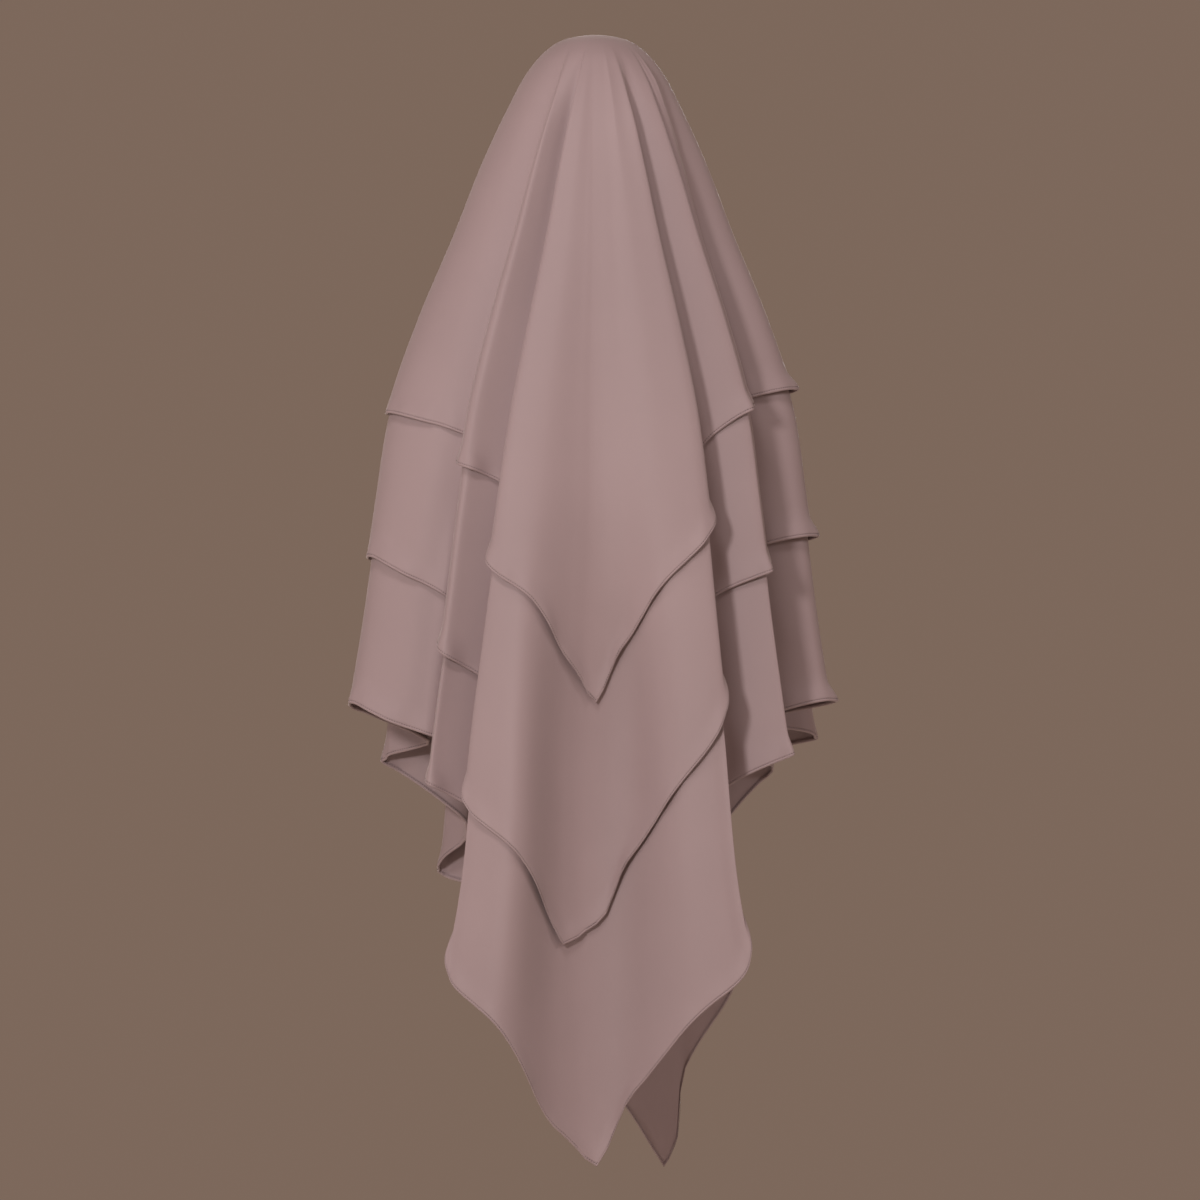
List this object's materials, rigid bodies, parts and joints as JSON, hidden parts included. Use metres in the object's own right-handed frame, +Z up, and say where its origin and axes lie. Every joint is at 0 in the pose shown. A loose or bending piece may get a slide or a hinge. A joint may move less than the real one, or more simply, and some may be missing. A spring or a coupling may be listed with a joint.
{
  "type": "three-layer khimar veil",
  "caption": "Long layered veil in soft crepe that hangs from the crown in deep folds, each layer ending in points at back and front, with a bound face opening.",
  "frame": {"origin": "middle of the crown, on the inside of the cloth, where it rests on the head", "axes": "+Z up, +Y out through the face opening, -Y out of the back, +X to the wearer's right"},
  "size_m": [0.5271, 0.4117, 1.2515],
  "materials": {
    "crepe_outer": "soft satin sheen, fine crepe grain",
    "crepe_middle": "soft satin sheen, fine crepe grain",
    "crepe_inner": "soft satin sheen, fine crepe grain",
    "binding": "folded strip of the same crepe, matt"
  },
  "bodies": {
    "root": {"veil_outer": "crepe_outer", "veil_middle": "crepe_middle", "veil_inner": "crepe_inner", "face_binding": "binding"}
  },
  "joints": []
}
